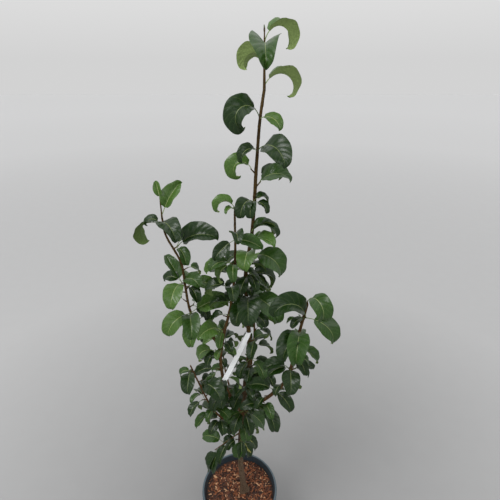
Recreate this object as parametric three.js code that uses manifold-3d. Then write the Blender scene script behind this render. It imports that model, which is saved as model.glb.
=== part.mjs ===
// A young pear tree in a round nursery pot, in millimetres, +Z up.
// The origin is the centre of the pot's flat underside. +X is to the right and -Y is the front.
// Limbs are tapering tubes along smooth curves. Each mass of leaves grows from one stem.

import * as THREE from 'three';
import { mergeVertices } from 'three/addons/utils/BufferGeometryUtils.js';
import Module from 'manifold-3d';

const wasm = await Module();
wasm.setup();

// Driving dimensions of the pot, its filling and the blank tag
const POT_HEIGHT = 245;
const RIM_RADIUS = 140;
const RIM_WIDTH = 8;
const RIM_DEPTH = 11;
const BASE_RADIUS = 108;
const POT_WALL = 3;
const POT_FLOOR = 4;
const POT_SEGMENTS = 36;
const DRAIN_HOLES = 6;
const DRAIN_RADIUS = 6;
const DRAIN_CIRCLE = 88;
const GROUND = 224;
const GROUND_FLAT = 62;
const GROUND_FALL = 2;
const GAP = 0.3;
const SMALLEST_EDGES = [0.06, 0.04, 0.02, 0.01, 0];
const THINNEST_FACE = 0.02;
const TAG_WIDTH = 18;
const TAG_THICK = 0.9;
const TAG_TOP = [35, -2.8, 982];
const TAG_FOOT = [-36, -54, 850];
const TAG_LOOP_HEIGHT = 5;
const TAG_LOOP_WALL = 2.2;

// Driving dimensions of the wood
const FLARE = 9;
const FLARE_HEIGHT = 24;
const BUTT_RADIUS = 10;
const FORK_RADIUS = 8.6;
const LEADER_RADIUS = 7.2;
const LEADER_TIP_RADIUS = 3.2;
const FORK_LOW = 630;
const FORK_HIGH = 715;
const TRUNK_SIDES = 9;
const BOUGH_SIDES = 6;
const LIMB_STEP = 55;
const LIMB_TAPER = 0.8;
const BUTT_RINGS = [0.35, 0.7];
const SEAT_GAP = 0.36;
const STEM_TIP_RADIUS = 1.3;
const SPUR_RADIUS = 2.2;
const STALK_RADIUS = 1.15;

// Driving dimensions of a leaf, as shares of its blade's length unless in millimetres or degrees
const BLADE_WIDTH = 0.62;
const STALK_LENGTH = 0.24;
const LEAF_THICK = 1.8;
const LEAF_CLEARANCE = 0.35;
const FOLD = 24;
const SIDE_BEND = 14;
const TWIST = 14;
const WAVE = 9;
const WAVE_TURN = 450;
const WAVE_LAG = 130;
const CURL_POWER = 1.2;
const BLADE_STATIONS = [0.12, 0.38, 0.64, 0.86];
const PATH_STEPS = 32;

// Where leaves sit on a stem: the first one this far from the limb, the rest crowding to the tip.
// A leaf that would touch a neighbour is turned by one of these angles, or else left off.
const FIRST_LEAF = 5;
const LAST_LEAF = 0.92;
const CROWDING = 0.6;
const LEAF_TURNS = [0, 12, -12, 24, -24];

const COLOURS = {
  leaf: 0x2f5a2a,
  bark: 0x6b5344,
  young_bark: 0x4a2f22,
  pot: 0x2b343b,
  mulch: 0x8a4a2a,
  tag: 0xeceff2,
};

// The routes of the limbs. The first point lies inside the limb that each one leaves.
const LIMBS = [
  { name: 'trunk', route: [
    [17, 4, GROUND + GAP], [11, 1, 290], [5, 0, 430], [13, 0, 638], [25, 2, 793], [36, 4, 900],
    [32, 3, 1062], [27, 0, 1168], [45, -2, 1310], [54, 0, 1470], [61, 0, 1570], [69, 0, 1628]] },
  { name: 'left_bough', from: 'trunk', base: 6, tip: 2.6, route: [
    [12, 0, 655], [-20, -18, 738], [-39, -30, 821], [-45, -40, 923], [-33, -45, 1010],
    [-9, -45, 1120], [2, -45, 1236], [4, -45, 1370]] },
  { name: 'far_left_bough', from: 'left_bough', base: 4.5, tip: 2.5, route: [
    [-42, -43, 960], [-66, -40, 1003], [-99, -30, 1030], [-122, -20, 1066], [-134, -5, 1140],
    [-140, 0, 1210], [-175, 9, 1290], [-179, 10, 1334]] },
  { name: 'low_left_bough', from: 'trunk', base: 4.2, tip: 2, route: [
    [6, 0, 572], [-57, -30, 669], [-86, -45, 747], [-107, -56, 832], [-129, -60, 914]] },
  { name: 'right_bough', from: 'trunk', base: 6.2, tip: 3.6, route: [
    [13, 0, 648], [74, -30, 736], [114, -50, 801], [143, -68, 870], [158, -78, 960],
    [168, -80, 1050], [182, -80, 1136]] },
  { name: 'back_bough', from: 'trunk', base: 4.8, tip: 2.1, route: [
    [15, 0, 670], [36, 50, 765], [52, 95, 880], [50, 122, 1000], [38, 128, 1110]] },
  { name: 'low_back_bough', from: 'trunk', base: 3.8, tip: 1.9, route: [
    [10, 0, 590], [-18, 44, 668], [-44, 82, 756], [-52, 104, 850]] },
];

// Each shoot: name, limb, height where it leaves it (or TIP), its heading, rise and length, and its leaves.
// A leaf is its heading, its rise, its blade's length, how far it curls over and how far it rolls.
// A heading of 0 is to the right, 90 to the back, 180 to the left and 270 to the front.
const TIP = 'tip';
const SHOOTS = [
  ['leader_tip', 'trunk', TIP, 100, 86, 108, [
    [6, 66, 96, 215, -10], [140, 70, 76, 200, 40], [268, 36, 106, 118, 0], [22, 78, 90, 215, 0],
    [110, 84, 16, 5, 0]]],
  ['leader_high', 'trunk', 1564, 262, 40, 13, [
    [330, 28, 54, 120, 30], [206, 68, 100, 258, -28]]],
  ['leader_upper', 'trunk', 1494, 275, 40, 13, [
    [214, 42, 56, 165, -20], [316, 42, 98, 125, 20]]],
  ['leader_middle', 'trunk', 1446, 215, 45, 14, [
    [184, 70, 74, 255, -30]]],
  ['leader_lower', 'trunk', 1414, 355, 50, 13, [
    [352, 60, 84, 125, 30], [42, 60, 70, 150, 20]]],
  ['leader_ring', 'trunk', 1378, 262, 20, 14, [
    [335, 20, 42, 130, 10], [222, 42, 64, 165, -20], [262, 35, 54, 165, 0], [12, 66, 44, 190, 25]]],
  ['leader_crook', 'trunk', 1294, 262, 40, 13, [
    [338, 66, 82, 165, 5], [0, 70, 74, 200, 5]]],
  ['leader_bright', 'trunk', 1262, 300, 40, 12, [
    [322, 52, 84, 75, 15], [40, 30, 60, 110, 0]]],
  ['leader_bend', 'trunk', 1230, 285, 30, 14, [
    [210, 30, 62, 120, 0], [332, 36, 98, 140, 25], [262, 66, 80, 170, 0]]],
  ['leader_heart', 'trunk', 1176, 300, 25, 13, [
    [345, 10, 52, 90, 0], [8, 25, 84, 150, 12], [225, 5, 62, 100, 0], [292, 30, 58, 120, 0]]],
  ['leader_breast', 'trunk', 1104, 292, 25, 15, [
    [352, 0, 60, 90, 0], [320, 30, 104, 112, 10], [230, 20, 84, 115, 0], [266, 46, 106, 140, 0]]],
  ['leader_back', 'trunk', 1070, 95, 30, 14, [
    [150, 20, 76, 110, 0], [30, 30, 74, 120, 0], [90, 40, 80, 130, 0]]],
  ['leader_waist', 'trunk', 946, 340, 30, 13, [
    [40, 30, 62, 120, 0], [262, 20, 56, 120, 0]]],
  ['leader_hip', 'trunk', 884, 290, 30, 13, [
    [350, 10, 60, 110, 0], [232, 5, 60, 105, 0], [316, 10, 66, 105, 0]]],
  ['fork_front', 'trunk', 756, 268, 35, 15, [
    [225, 10, 64, 95, 0], [335, 24, 62, 110, 10], [300, 70, 64, 115, 0], [250, 72, 68, 110, 0]]],
  ['fork_back', 'trunk', 778, 60, 30, 15, [
    [330, 30, 62, 110, 0], [100, 25, 70, 110, 0], [30, 25, 70, 110, 0]]],
  ['collar_front', 'trunk', 672, 285, 20, 16, [
    [238, 10, 66, 95, 0], [334, 5, 78, 95, 0], [205, 15, 66, 95, -15], [290, -10, 68, 85, 0]]],
  ['skirt_left', 'trunk', 556, 198, -30, 96, [
    [150, 45, 70, 95, -15], [235, -10, 68, 75, 0], [168, 48, 74, 105, -20], [232, -40, 80, 45, 0],
    [205, -60, 88, 20, 0]]],
  ['skirt_front', 'trunk', 545, 280, 20, 16, [
    [345, 0, 68, 105, 0], [240, -42, 66, 60, 0], [310, -15, 64, 95, 0], [268, -26, 60, 80, 0],
    [328, -30, 54, 55, 0]]],
  ['skirt_back', 'trunk', 548, 80, 25, 16, [
    [150, 0, 74, 100, 0], [22, 0, 72, 100, 0], [118, 15, 76, 105, 0], [58, 15, 74, 105, 0]]],
  ['left_tip', 'left_bough', TIP, 120, 84, 9, [
    [228, 55, 34, 130, 0], [184, 74, 58, 205, -15]]],
  ['left_high', 'left_bough', 1298, 266, 35, 12, [
    [202, -20, 58, 40, -45], [345, 8, 62, 50, 45], [285, 80, 60, 160, 0]]],
  ['left_upper', 'left_bough', 1232, 235, 35, 12, [
    [292, 20, 54, 115, 0], [190, -10, 58, 120, 0], [210, 42, 58, 110, -20], [188, 14, 60, 80, -35]]],
  ['left_middle', 'left_bough', 1160, 205, 25, 12, [
    [280, 56, 62, 130, 0], [150, 15, 70, 120, 0], [196, 50, 62, 140, -10]]],
  ['left_lower', 'left_bough', 1082, 255, 25, 11, [
    [182, 10, 52, 110, 0], [320, 5, 50, 100, 0]]],
  ['left_fork', 'left_bough', 1030, 225, 25, 12, [
    [255, -25, 46, 60, 0], [225, 50, 78, 88, -35]]],
  ['left_low', 'left_bough', 945, 200, 30, 11, [
    [215, 0, 50, 110, 0], [180, 32, 66, 165, -20]]],
  ['left_base', 'left_bough', 874, 200, 30, 11, [
    [220, -15, 46, 90, 0], [184, 18, 62, 85, -25]]],
  ['left_foot', 'left_bough', 772, 190, 20, 11, [
    [215, 10, 62, 100, 0], [140, 20, 66, 105, 0]]],
  ['far_left_top', 'far_left_bough', TIP, 100, 86, 46, [
    [30, 66, 78, 28, 45], [118, 80, 40, 30, -30]]],
  ['far_left_high', 'far_left_bough', 1312, 235, 30, 12, [
    [180, 34, 84, 205, 8], [192, 80, 44, 195, -20], [308, 42, 92, 125, 5]]],
  ['far_left_node', 'far_left_bough', 1250, 350, 35, 12, [
    [312, 20, 58, 130, 0], [30, 66, 60, 50, 0], [356, 50, 102, 82, 45]]],
  ['far_left_middle', 'far_left_bough', 1152, 250, 30, 13, [
    [330, 66, 66, 140, 20], [165, 52, 54, 130, -25], [140, 50, 78, 20, -10], [254, 28, 86, 120, -5]]],
  ['far_left_light', 'far_left_bough', 1132, 40, 35, 12, [
    [90, 40, 72, 120, 0], [350, 34, 66, 110, 35]]],
  ['far_left_low', 'far_left_bough', 1066, 265, 30, 14, [
    [222, 18, 84, 112, -20], [275, -30, 76, 55, 0], [6, 34, 98, 58, 45], [308, 30, 84, 110, 0]]],
  ['low_left_top', 'low_left_bough', 892, 235, 30, 11, [
    [190, 45, 44, 180, -10], [270, 28, 66, 118, 0]]],
  ['low_left_high', 'low_left_bough', 832, 320, 30, 12, [
    [60, 35, 56, 120, 0], [318, 60, 86, 145, 10]]],
  ['low_left_middle', 'low_left_bough', 764, 200, 20, 11, [
    [120, 30, 58, 110, 0], [222, 18, 54, 100, 0]]],
  ['low_left_low', 'low_left_bough', 700, 200, 10, 11, [
    [207, -5, 62, 60, 0], [130, 10, 62, 100, 0]]],
  ['right_tip', 'right_bough', TIP, 60, 84, 9, [
    [300, 68, 96, 225, 25]]],
  ['right_high', 'right_bough', 1096, 290, 35, 12, [
    [210, 20, 44, 100, 0], [342, 12, 96, 130, 25], [192, 80, 112, 158, -35]]],
  ['right_middle', 'right_bough', 1052, 268, 30, 13, [
    [238, 30, 90, 125, 0], [256, 38, 98, 138, 0]]],
  ['right_rear', 'right_bough', 985, 30, 30, 12, [
    [340, 5, 62, 90, 0], [80, 40, 68, 115, 0]]],
  ['right_lower', 'right_bough', 922, 235, 30, 13, [
    [270, 22, 76, 105, 0], [204, 40, 60, 105, -28], [186, 52, 68, 120, -20]]],
  ['right_bend', 'right_bough', 802, 250, 50, 13, [
    [312, 14, 72, 105, 15], [170, 44, 76, 85, -30], [120, 66, 50, 75, 0]]],
  ['right_foot', 'right_bough', 732, 275, 20, 12, [
    [312, -2, 82, 92, 10], [200, 48, 64, 100, -30]]],
  ['back_tip', 'back_bough', TIP, 90, 80, 14, [
    [20, 35, 66, 115, 0], [150, 35, 68, 120, 0], [80, 55, 70, 130, 0]]],
  ['back_high', 'back_bough', 1000, 70, 35, 13, [
    [350, 10, 70, 100, 0], [120, 25, 78, 110, 0], [55, 35, 80, 115, 0]]],
  ['back_low', 'back_bough', 850, 75, 30, 13, [
    [10, 5, 70, 100, 0], [130, 20, 76, 105, 0], [65, 20, 80, 105, 0]]],
  ['low_back_tip', 'low_back_bough', TIP, 110, 76, 13, [
    [40, 35, 66, 120, 0], [185, 35, 66, 120, 0], [112, 50, 72, 130, 0]]],
];

const radians = THREE.MathUtils.degToRad;

// A number of its own for each name
function seedOf(name) {
  return [...name].reduce((sum, letter, i) => sum + letter.charCodeAt(0) * (i + 1), 0) % 101;
}

// A repeatable number from -1 to 1 for one property of one leaf
function vary(seed, leaf, property) {
  const wave = Math.sin(seed * 12.9898 + leaf * 78.233 + property * 37.719) * 43758.5453;
  return 2 * (wave - Math.floor(wave)) - 1;
}

// A closed body through rings of equal size, with a flat or pointed end at each side. Its squares are halved
// by turns one way and the other, so that the upper and lower side of a blade bend along the same lines.
function loft(rings) {
  const positions = rings.flat().flatMap((point) => point.toArray());
  const starts = rings.map((ring, i) => rings.slice(0, i).reduce((sum, before) => sum + before.length, 0));
  const faces = [];
  for (let i = 0; i + 1 < rings.length; i += 1) {
    const sides = Math.max(rings[i].length, rings[i + 1].length);
    for (let k = 0; k < sides; k += 1) {
      const a = starts[i] + (k % rings[i].length);
      const b = starts[i] + ((k + 1) % rings[i].length);
      const c = starts[i + 1] + ((k + 1) % rings[i + 1].length);
      const d = starts[i + 1] + (k % rings[i + 1].length);
      const [near, far] = k % 2 === 0 ? [a, c] : [b, d];
      if (a !== b) faces.push(a, b, far);
      if (c !== d) faces.push(near, c, d);
    }
  }
  const last = rings.length - 1;
  for (let k = 1; k + 1 < rings[0].length; k += 1) faces.push(starts[0], starts[0] + k + 1, starts[0] + k);
  for (let k = 1; k + 1 < rings[last].length; k += 1) {
    faces.push(starts[last], starts[last] + k, starts[last] + k + 1);
  }
  const geometry = new THREE.BufferGeometry();
  geometry.setAttribute('position', new THREE.Float32BufferAttribute(positions, 3));
  geometry.setIndex(faces);
  return geometry;
}

// A solid for cutting and joining, from a closed geometry
function solid(geometry) {
  const bare = geometry.clone();
  bare.deleteAttribute('normal');
  bare.deleteAttribute('uv');
  const merged = mergeVertices(bare, 1e-4);
  const mesh = new wasm.Mesh({
    numProp: 3,
    vertProperties: new Float32Array(merged.attributes.position.array),
    triVerts: new Uint32Array(merged.index.array),
  });
  return new wasm.Manifold(mesh);
}

// The largest body of a solid, which drops loose scraps and fills sealed hollows
function largest(body) {
  return body.decompose().reduce((best, piece) => (piece.volume() > best.volume() ? piece : best));
}

function pointsOf(mesh) {
  return Array.from({ length: mesh.vertProperties.length / 3 }, (_, i) => (
    new THREE.Vector3().fromArray(mesh.vertProperties, 3 * i)));
}

// A mesh's faces with its shortest edges closed up
function weldedFaces(mesh, points, smallest) {
  const keepers = [];
  points.forEach((point, index) => {
    const near = keepers.find((keeper) => points[keeper].distanceTo(point) < smallest);
    keepers.push(near ?? index);
  });
  const faces = [];
  for (let i = 0; i < mesh.triVerts.length; i += 3) {
    const face = Array.from(mesh.triVerts.slice(i, i + 3), (vertex) => keepers[vertex]);
    if (new Set(face).size === 3) faces.push(face);
  }
  return faces;
}

// The face turned so that its longest edge comes first, and its height over that edge
function overLongestEdge(points, face) {
  const turns = [0, 1, 2].map((k) => [face[k], face[(k + 1) % 3], face[(k + 2) % 3]]);
  const length = ([a, b]) => points[a].distanceTo(points[b]);
  const turned = turns.reduce((best, turn) => (length(turn) > length(best) ? turn : best));
  const [a, b, c] = turned.map((vertex) => points[vertex]);
  const height = b.clone().sub(a).cross(c.clone().sub(a)).length() / b.distanceTo(a);
  return { turned, height };
}

// Each needle of a face shares its longest edge with a neighbour: the edge is swapped for the other diagonal
function withoutNeedles(points, faces) {
  const kept = [...faces];
  kept.forEach((face, i) => {
    const { turned: [a, b, c], height } = overLongestEdge(points, face);
    if (height >= THINNEST_FACE) return;
    const other = kept.findIndex((item, k) => k !== i && item.includes(a) && item.includes(b));
    if (other < 0) return;
    const d = kept[other].find((vertex) => vertex !== a && vertex !== b);
    if (kept.some((item) => item.includes(c) && item.includes(d))) return;
    kept[i] = [a, d, c];
    kept[other] = [d, b, c];
  });
  return kept;
}

// True where every edge belongs to exactly two faces
function isClosed(faces) {
  const uses = new Map();
  for (const [a, b, c] of faces) {
    for (const edge of [[a, b], [b, c], [c, a]]) {
      const key = edge.sort((low, high) => low - high).join();
      uses.set(key, (uses.get(key) ?? 0) + 1);
    }
  }
  return [...uses.values()].every((count) => count === 2);
}

// A body whose faces all keep a real size
function tidied(body) {
  const mesh = body.getMesh();
  const points = pointsOf(mesh);
  const choices = SMALLEST_EDGES.flatMap((size) => {
    const faces = weldedFaces(mesh, points, size);
    return [withoutNeedles(points, faces), faces];
  });
  const faces = choices.find(isClosed);
  const tidy = new wasm.Mesh({
    numProp: 3,
    vertProperties: mesh.vertProperties,
    triVerts: new Uint32Array(faces.flat()),
  });
  return largest(new wasm.Manifold(tidy));
}

// A mesh's faces, each turned so that its shortest edge comes first
function fromShortestEdges(mesh) {
  const points = pointsOf(mesh);
  const length = ([a, b]) => points[a].distanceTo(points[b]);
  const faces = [];
  for (let i = 0; i < mesh.triVerts.length; i += 3) {
    const [a, b, c] = mesh.triVerts.slice(i, i + 3);
    const turns = [[a, b, c], [b, c, a], [c, a, b]];
    faces.push(turns.reduce((best, turn) => (length(turn) < length(best) ? turn : best)));
  }
  return faces.flat();
}

function geometryOf(body) {
  const mesh = body.getMesh();
  const geometry = new THREE.BufferGeometry();
  geometry.setAttribute('position', new THREE.BufferAttribute(new Float32Array(mesh.vertProperties), 3));
  geometry.setIndex(fromShortestEdges(mesh));
  geometry.computeVertexNormals();
  return geometry;
}

function direction(heading, rise) {
  const [a, e] = [radians(heading), radians(rise)];
  return new THREE.Vector3(Math.cos(e) * Math.cos(a), Math.cos(e) * Math.sin(a), Math.sin(e));
}

// A ring of points round a centre, across the direction along
function ring(centre, along, radius, sides) {
  const aside = new THREE.Vector3(0, 1, 0).cross(along).normalize();
  const over = along.clone().cross(aside).normalize();
  return Array.from({ length: sides }, (_, k) => {
    const angle = (2 * Math.PI * k) / sides;
    return centre.clone()
      .addScaledVector(aside, radius * Math.cos(angle))
      .addScaledVector(over, radius * Math.sin(angle));
  });
}

// The trunk narrows slowly to the fork, drops there, and narrows again to the leader's tip
function trunkRadius(height, top) {
  const flare = FLARE * Math.exp(-(height - GROUND) / FLARE_HEIGHT);
  const below = THREE.MathUtils.mapLinear(height, GROUND, FORK_LOW, BUTT_RADIUS, FORK_RADIUS);
  const above = THREE.MathUtils.mapLinear(height, FORK_HIGH, top, LEADER_RADIUS, LEADER_TIP_RADIUS);
  return flare + THREE.MathUtils.lerp(below, above, THREE.MathUtils.smoothstep(height, FORK_LOW, FORK_HIGH));
}

function limbCurve(limb) {
  const curve = new THREE.CatmullRomCurve3(limb.route.map((point) => new THREE.Vector3(...point)));
  curve.arcLengthDivisions = 400;
  return curve;
}

function limbRadius(limb, share, height) {
  if (limb.name === 'trunk') return trunkRadius(height, limb.route.at(-1)[2]);
  return THREE.MathUtils.lerp(limb.base, limb.tip, share ** LIMB_TAPER);
}

// A limb's tube, or the same tube swollen by a margin to cut its neighbours clear of it
function limbTube(limb, margin) {
  const curve = limbCurve(limb);
  const trunk = limb.name === 'trunk';
  const count = Math.ceil(curve.getLength() / LIMB_STEP);
  const shares = Array.from({ length: count + 1 }, (_, i) => i / count);
  if (trunk) shares.splice(1, 0, ...BUTT_RINGS.map((part) => part / count));
  const rings = shares.map((share) => {
    const centre = curve.getPointAt(share);
    const along = trunk && share === 0 ? new THREE.Vector3(0, 0, 1) : curve.getTangentAt(share);
    const end = share === 1 ? margin : 0;
    centre.addScaledVector(along, end);
    return ring(centre, along, limbRadius(limb, share, centre.z) + margin, trunk ? TRUNK_SIDES : BOUGH_SIDES);
  });
  return solid(loft(rings));
}

// The place on a limb at a height, with its direction and radius there
function placeOn(limb, height) {
  const curve = limbCurve(limb);
  let low = 0;
  let high = 1;
  if (height === TIP) low = 1;
  while (high - low > 1e-4) {
    const middle = (low + high) / 2;
    if (curve.getPointAt(middle).z < height) low = middle;
    else high = middle;
  }
  const point = curve.getPointAt(high);
  return { point, along: curve.getTangentAt(high), radius: limbRadius(limb, high, point.z) };
}

// The line of a leaf's stalk and blade, as steps with their place, direction, side and upper side
function leafLine(foot, seed, leaf, row) {
  const [heading, rise, blade, curl, roll = 0] = row;
  const stalk = blade * STALK_LENGTH * (1 + 0.25 * vary(seed, leaf, 1));
  const bend = SIDE_BEND * vary(seed, leaf, 2);
  const twist = TWIST * vary(seed, leaf, 3);
  const step = (stalk + blade) / PATH_STEPS;
  const start = stalk / (stalk + blade);
  const point = foot.clone();
  const steps = [];
  for (let i = 0; i <= PATH_STEPS; i += 1) {
    const share = i / PATH_STEPS;
    const turn = heading + bend * share;
    const tilt = rise - curl * share ** CURL_POWER;
    const along = direction(turn, tilt);
    const level = direction(turn + 90, 0);
    const upper = direction(turn, tilt + 90);
    const spin = radians(roll * Math.min(1, share / start) + twist * share);
    steps.push({
      point: point.clone(),
      along,
      side: level.clone().multiplyScalar(Math.cos(spin)).addScaledVector(upper, Math.sin(spin)),
      upper: upper.clone().multiplyScalar(Math.cos(spin)).addScaledVector(level, -Math.sin(spin)),
    });
    point.addScaledVector(along, step);
  }
  return { steps, start, blade };
}

function lineAt(line, share) {
  const place = Math.min(share * PATH_STEPS, PATH_STEPS - 1e-6);
  const low = line.steps[Math.floor(place)];
  const high = line.steps[Math.floor(place) + 1];
  const part = place - Math.floor(place);
  const mix = (key) => low[key].clone().lerp(high[key], part);
  return { point: mix('point'), along: mix('along'), side: mix('side').normalize(), upper: mix('upper').normalize() };
}

// Half the width of a blade at a share of its length: round at the base, pointed at the tip
function bladeOutline(share) {
  return Math.sin(Math.PI * share ** 0.8) ** 0.7 * (1 - 0.2 * share * share);
}

// One leaf as one body: a thin stalk that widens into a folded blade, down to its pointed tip
function leafSolid(line, seed, leaf) {
  const half = 0.5 * line.blade * BLADE_WIDTH * (1 + 0.12 * vary(seed, leaf, 4));
  const fold = FOLD * (1 + 0.5 * vary(seed, leaf, 5));
  const phase = 180 * vary(seed, leaf, 6);
  const section = (share, reach, thick, leftLift, rightLift) => {
    const { point, side, upper } = lineAt(line, share);
    const edge = (sign, lift) => point.clone()
      .addScaledVector(side, sign * reach * Math.cos(radians(lift)))
      .addScaledVector(upper, reach * Math.sin(radians(lift)));
    const middle = (sign) => point.clone().addScaledVector(upper, sign * thick);
    return [edge(-1, leftLift), middle(-1), edge(1, rightLift), middle(1)];
  };
  const stalk = [0, 1].map((share) => section(share * line.start, STALK_RADIUS, STALK_RADIUS, 0, 0));
  const blade = BLADE_STATIONS.map((share) => section(
    line.start + (1 - line.start) * share,
    half * bladeOutline(share),
    LEAF_THICK / 2,
    fold + WAVE * Math.sin(radians(WAVE_TURN * share + phase)),
    fold + WAVE * Math.sin(radians(WAVE_TURN * share + phase + WAVE_LAG)),
  ));
  return solid(loft([...stalk, ...blade, [lineAt(line, 1).point]]));
}

// The stem of a shoot, from the middle of its limb to its tip
function stemLine(limb, height, heading, rise, length) {
  const place = placeOn(limb, height);
  const out = direction(heading, rise);
  const tip = place.point.clone().addScaledVector(out, length + (height === TIP ? 0 : place.radius));
  const radius = height === TIP ? place.radius : SPUR_RADIUS;
  return { foot: place.point, tip, out, radius, buried: height === TIP ? 0 : place.radius };
}

function stemSolid(stem) {
  const { foot, tip, out, radius } = stem;
  const middle = foot.clone().lerp(tip, 0.5);
  const halfway = (radius + STEM_TIP_RADIUS) / 2;
  return solid(loft([
    ring(foot, out, radius, 3), ring(middle, out, halfway, 3), ring(tip, out, STEM_TIP_RADIUS, 3)]));
}

// True where a body keeps clear of every other body near it
function isClear(body, others) {
  return others.every((other) => body.minGap(other, 2 * LEAF_CLEARANCE) >= LEAF_CLEARANCE);
}

// One mass: its stem, cut clear of its limb, and each leaf that touches nothing else
function massSolid(shoot, limbs, others) {
  const [name, limbName, height, heading, rise, length, leaves] = shoot;
  const seed = seedOf(name);
  const limb = limbs.find((entry) => entry.name === limbName);
  const stem = stemLine(limb, height, heading, rise, length);
  let body = largest(stemSolid(stem).subtract(limb.swollen));
  leaves.forEach((row, leaf) => {
    const order = leaves.length > 1 ? leaf / (leaves.length - 1) : 1;
    const share = THREE.MathUtils.lerp(FIRST_LEAF / length, LAST_LEAF, order ** CROWDING);
    const foot = stem.foot.clone().addScaledVector(stem.out, stem.buried).lerp(stem.tip, share);
    const pieces = LEAF_TURNS.map((turn) => {
      const line = leafLine(foot, seed, leaf, [row[0] + turn, ...row.slice(1)]);
      return leafSolid(line, seed, leaf);
    });
    const piece = pieces.find((candidate) => isClear(candidate, others));
    if (piece) body = body.add(piece);
  });
  return { name, body: largest(body) };
}

function potSolid() {
  const slope = (RIM_RADIUS - RIM_WIDTH - BASE_RADIUS) / (POT_HEIGHT - RIM_DEPTH);
  const outer = RIM_RADIUS - RIM_WIDTH;
  const inside = BASE_RADIUS - POT_WALL + slope * POT_FLOOR;
  const profile = [
    [0, 0], [BASE_RADIUS - 2, 0], [BASE_RADIUS, 3], [outer, POT_HEIGHT - RIM_DEPTH],
    [RIM_RADIUS - 1, POT_HEIGHT - RIM_DEPTH], [RIM_RADIUS, POT_HEIGHT - 0.7 * RIM_DEPTH],
    [RIM_RADIUS - 1, POT_HEIGHT - 2], [RIM_RADIUS - 4, POT_HEIGHT], [RIM_RADIUS - RIM_WIDTH, POT_HEIGHT - 2],
    [outer - POT_WALL, POT_HEIGHT - RIM_DEPTH], [inside, POT_FLOOR], [0, POT_FLOOR],
  ];
  return solid(turned(profile));
}

function turned(profile) {
  const lathe = new THREE.LatheGeometry(profile.map(([x, y]) => new THREE.Vector2(x, y)), POT_SEGMENTS);
  return lathe.rotateX(Math.PI / 2);
}

// The pot's holes are in its floor, round the edge of the flat middle
function drainedPot() {
  let pot = potSolid();
  for (let i = 0; i < DRAIN_HOLES; i += 1) {
    const angle = (2 * Math.PI * (i + 0.5)) / DRAIN_HOLES;
    const hole = new THREE.CylinderGeometry(DRAIN_RADIUS, DRAIN_RADIUS, 3 * POT_FLOOR, 10);
    hole.rotateX(Math.PI / 2);
    hole.translate(DRAIN_CIRCLE * Math.cos(angle), DRAIN_CIRCLE * Math.sin(angle), POT_FLOOR / 2);
    pot = pot.subtract(solid(hole));
  }
  return pot;
}

function groundSolid() {
  const slope = (RIM_RADIUS - RIM_WIDTH - BASE_RADIUS) / (POT_HEIGHT - RIM_DEPTH);
  const wall = (height) => BASE_RADIUS - POT_WALL + slope * height - 2 * GAP;
  const edge = GROUND - GROUND_FALL;
  const profile = [[0, POT_FLOOR + GAP], [wall(POT_FLOOR), POT_FLOOR + GAP], [wall(edge), edge],
    [(wall(edge) + GROUND_FLAT) / 2, GROUND - 0.3 * GROUND_FALL], [GROUND_FLAT, GROUND], [0, GROUND]];
  return solid(turned(profile));
}

// A blank strip that hangs from a loop round the trunk
function tagSolid(trunk) {
  const top = new THREE.Vector3(...TAG_TOP);
  const foot = new THREE.Vector3(...TAG_FOOT);
  const place = placeOn(trunk, TAG_TOP[2]);
  const loopRadius = place.radius + GAP + TAG_LOOP_WALL;
  const strip = new THREE.BoxGeometry(TAG_WIDTH, TAG_THICK, top.distanceTo(foot));
  const down = foot.clone().sub(top).normalize();
  const side = down.clone().cross(new THREE.Vector3(0, 1, 0)).normalize();
  const frame = new THREE.Matrix4().makeBasis(side, down.clone().cross(side), down);
  strip.applyMatrix4(frame);
  strip.translate(...top.clone().add(foot).multiplyScalar(0.5).toArray());
  const loop = new THREE.CylinderGeometry(loopRadius, loopRadius, TAG_LOOP_HEIGHT, 14);
  loop.rotateX(Math.PI / 2);
  loop.translate(...place.point.toArray());
  return largest(solid(strip).add(solid(loop)).subtract(trunk.swollen));
}

// All bodies, in the order in which they are fitted round each other
function build() {
  const limbs = [];
  for (const route of LIMBS) {
    const limb = { ...route };
    const parent = limbs.find((entry) => entry.name === limb.from);
    limb.body = limbTube(limb, 0);
    if (parent) limb.body = largest(limb.body.subtract(parent.swollen));
    limb.swollen = limbTube(limb, SEAT_GAP);
    limbs.push(limb);
  }
  const parts = limbs.map(({ name, body }) => ({ name, body, look: name === 'trunk' ? 'bark' : 'young_bark' }));
  parts.unshift({ name: 'pot', body: drainedPot(), look: 'pot' });
  parts.unshift({ name: 'ground', body: groundSolid(), look: 'mulch' });
  parts.push({ name: 'blank_tag', body: tagSolid(limbs[0]), look: 'tag' });
  for (const shoot of SHOOTS) {
    const mass = massSolid(shoot, limbs, parts.map(({ body }) => body));
    parts.push({ ...mass, look: 'leaf' });
  }
  return parts;
}

const tree = new THREE.Group();
tree.name = 'potted_pear_tree';
for (const { name, body, look } of build()) {
  const material = new THREE.MeshStandardMaterial({ color: COLOURS[look], roughness: 0.6, metalness: 0 });
  const mesh = new THREE.Mesh(geometryOf(tidied(body)), material);
  mesh.name = name;
  tree.add(mesh);
}

export default tree;
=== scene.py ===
import math

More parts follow.
